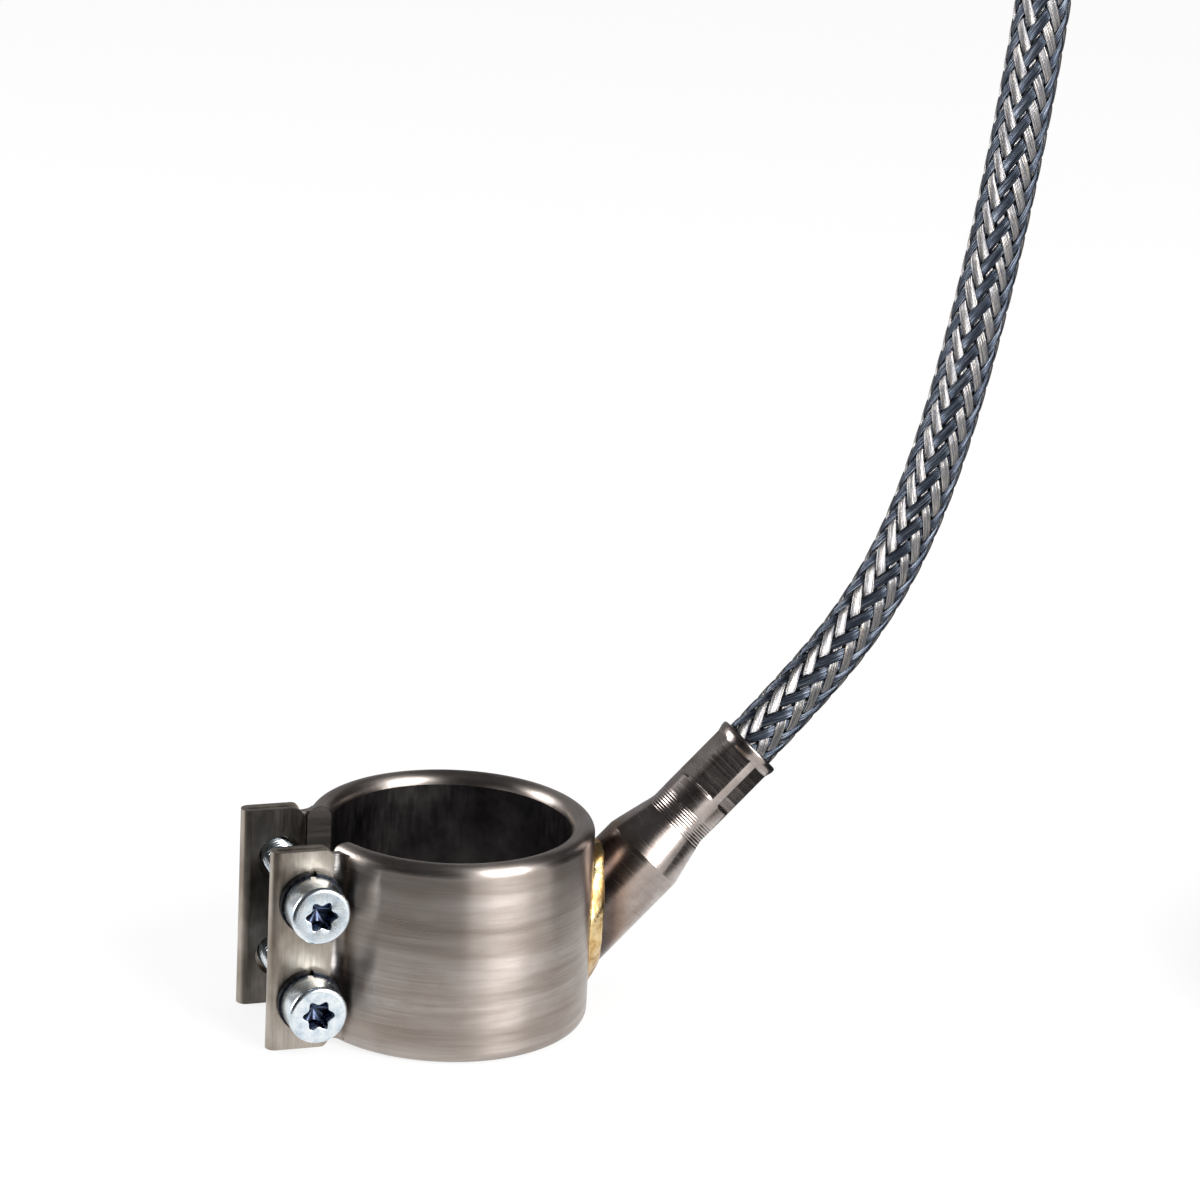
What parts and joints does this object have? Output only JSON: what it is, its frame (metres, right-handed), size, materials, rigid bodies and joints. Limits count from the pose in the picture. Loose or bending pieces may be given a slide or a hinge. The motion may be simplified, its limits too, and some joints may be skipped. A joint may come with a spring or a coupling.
{
  "type": "band heater",
  "caption": "Sealed split ring that clamps round a cylinder and heats it, with two clamp screws and a braided lead leaving at 45 degrees",
  "frame": {"origin": "on the bore's axis, at half the band's width", "axes": "+Z along the bore's axis, +X towards the lead outlet, -X towards the gap between the ears, -Y towards the screws' heads; the rim at z = -15 mm stands on the surface"},
  "size_m": [0.2378, 0.1097, 0.1937],
  "materials": {
    "brushed_stainless": "brushed",
    "heated_stainless": "dull, darkened",
    "ear_stainless": "satin",
    "turned_stainless": "turned",
    "zinc_plated": "blue-white zinc plate",
    "dark_spring_steel": "phosphated",
    "braze": "as brazed",
    "steel_braid": "woven wire",
    "mica": "pressed mica sheet",
    "resistance_ribbon": "rolled",
    "nickel": "drawn",
    "tinned_copper": "tin plated",
    "brown_glass_sleeving": "woven glass, varnished",
    "blue_glass_sleeving": "woven glass, varnished",
    "green_glass_sleeving": "woven glass, varnished",
    "white_glass_sleeving": "woven glass"
  },
  "bodies": {
    "heater": {"outer_jacket": "brushed_stainless", "inner_sleeve": "heated_stainless", "inner_mica": "mica", "winding_card": "mica", "heating_ribbon": "resistance_ribbon", "outer_mica": "mica", "front_ear_channel": "ear_stainless", "rear_ear_channel": "ear_stainless", "upper_clamp_nut": "zinc_plated", "lower_clamp_nut": "zinc_plated", "outlet_sleeve": "turned_stainless", "braze_fillet": "braze", "live_wire": "nickel", "neutral_wire": "nickel", "live_terminal": "nickel", "neutral_terminal": "nickel", "live_conductor": "brown_glass_sleeving", "neutral_conductor": "blue_glass_sleeving", "earth_conductor": "green_glass_sleeving", "earth_tail": "nickel", "outlet_liner": "white_glass_sleeving", "braided_lead": "steel_braid", "lead_coil": "steel_braid", "lead_tail": "steel_braid", "lead_end_sleeve": "turned_stainless", "live_end": "brown_glass_sleeving", "live_ferrule": "tinned_copper", "neutral_end": "blue_glass_sleeving", "neutral_ferrule": "tinned_copper", "earth_end": "green_glass_sleeving", "earth_ferrule": "tinned_copper"},
    "upper_washer": {"upper_lock_washer": "dark_spring_steel"},
    "upper_screw": {"upper_clamp_screw": "zinc_plated"},
    "lower_washer": {"lower_lock_washer": "dark_spring_steel"},
    "lower_screw": {"lower_clamp_screw": "zinc_plated"}
  },
  "joints": [
    {"name": "upper_screw_lift", "type": "slide", "parent": "heater", "child": "upper_washer", "axis": [0, -1, 0], "range_m": [0, 0.004]},
    {"name": "upper_screw_turn", "type": "hinge", "parent": "upper_washer", "child": "upper_screw", "pos_m": [-0.02336, -0.0111, 0.0075], "axis": [0, -1, 0], "range_deg": [0, 1800]},
    {"name": "lower_screw_lift", "type": "slide", "parent": "heater", "child": "lower_washer", "axis": [0, -1, 0], "range_m": [0, 0.004]},
    {"name": "lower_screw_turn", "type": "hinge", "parent": "lower_washer", "child": "lower_screw", "pos_m": [-0.02336, -0.0111, -0.0075], "axis": [0, -1, 0], "range_deg": [0, 1800]}
  ],
  "couplings": [
    {"joint": "upper_screw_turn", "follows": "upper_screw_lift", "rad_per_m": 7854},
    {"joint": "lower_screw_turn", "follows": "lower_screw_lift", "rad_per_m": 7854}
  ]
}
